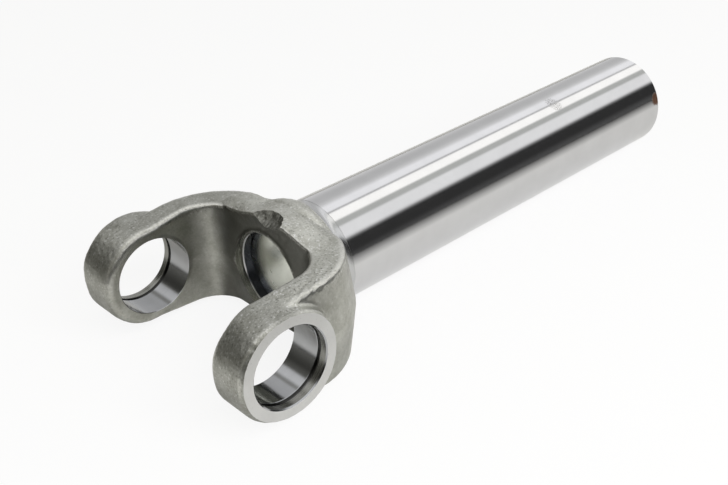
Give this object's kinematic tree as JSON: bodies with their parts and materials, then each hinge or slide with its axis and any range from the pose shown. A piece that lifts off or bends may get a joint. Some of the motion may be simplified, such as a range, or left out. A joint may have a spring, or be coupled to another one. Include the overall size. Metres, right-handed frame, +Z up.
{
  "type": "forged yoke",
  "caption": "Forged slip yoke with bored ears on a drafted fork, and a turned barrel with an inside spline behind a domed plug.",
  "frame": {"origin": "where the cross bore's axis meets the barrel's axis", "axes": "+X along the barrel away from the ears, +Y along the cross bore, +Z up, at right angles to the parting plane of the forging"},
  "size_m": [0.2428, 0.087, 0.0452],
  "materials": {
    "forging": "grit-blasted forging with bored, turned and ground faces",
    "plug": "dull pressed sheet"
  },
  "bodies": {
    "root": {"yoke": "forging", "end_plug": "plug"}
  },
  "joints": []
}
